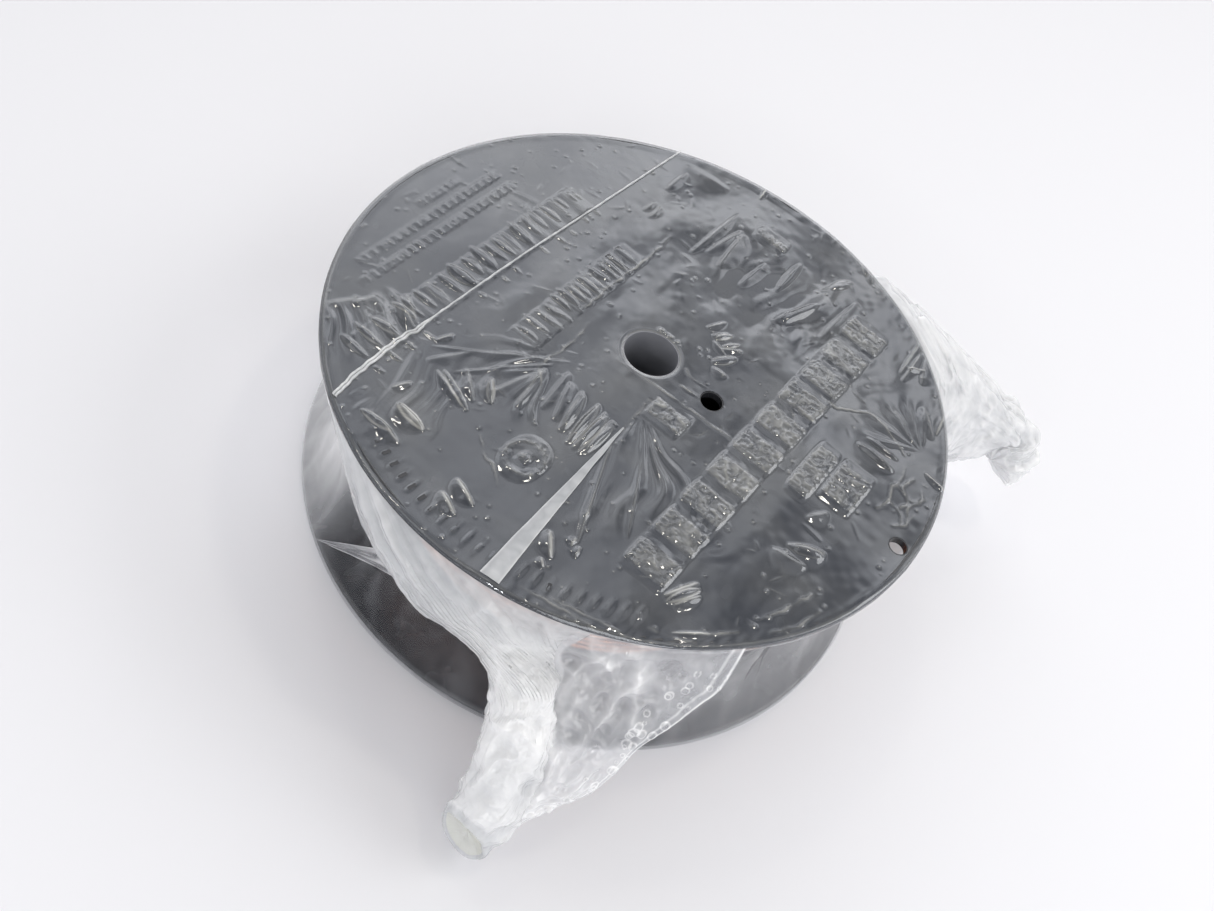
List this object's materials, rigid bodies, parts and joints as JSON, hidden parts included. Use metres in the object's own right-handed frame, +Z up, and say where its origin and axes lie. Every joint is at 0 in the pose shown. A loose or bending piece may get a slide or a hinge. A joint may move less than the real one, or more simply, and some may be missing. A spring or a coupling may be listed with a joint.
{
  "type": "solder wire spool",
  "caption": "Round flanged spool of wire with a central bore, sealed in clear film that is gathered into a drooping tail in front and a stiff tail behind.",
  "frame": {"origin": "on the bore axis, at the lower end of the hub tube; the film under it is 0.35 mm thick", "axes": "+Z up along the bore; +X from the bore through the drive hole and the rim hole of the top flange; +Y completes the frame, and the tails make Y the longest extent"},
  "size_m": [0.2704, 0.3109, 0.0891],
  "materials": {
    "flange_black": "moulded black polystyrene, satin to glossy",
    "drum_black": "moulded black polystyrene",
    "copper_wire": "bright drawn copper-coloured wire",
    "clear_film": "clear wrinkled polyethylene film",
    "white_film": "bunched polyethylene film, milky where its layers lie together"
  },
  "bodies": {
    "root": {"top_flange": "flange_black", "bottom_flange": "flange_black", "barrel": "drum_black", "hub_tube": "drum_black", "rib_spider": "drum_black", "wire_core": "copper_wire", "wire_outer_layer": "copper_wire", "wire_start_end": "copper_wire", "wire_free_end": "copper_wire", "film_top": "clear_film", "film_side_upper": "clear_film", "film_side_lower": "clear_film", "film_bottom": "clear_film", "film_seam": "white_film", "film_edge_strip": "white_film", "film_front_tail": "white_film", "film_front_flap": "clear_film", "film_rear_tail": "white_film"}
  },
  "joints": []
}
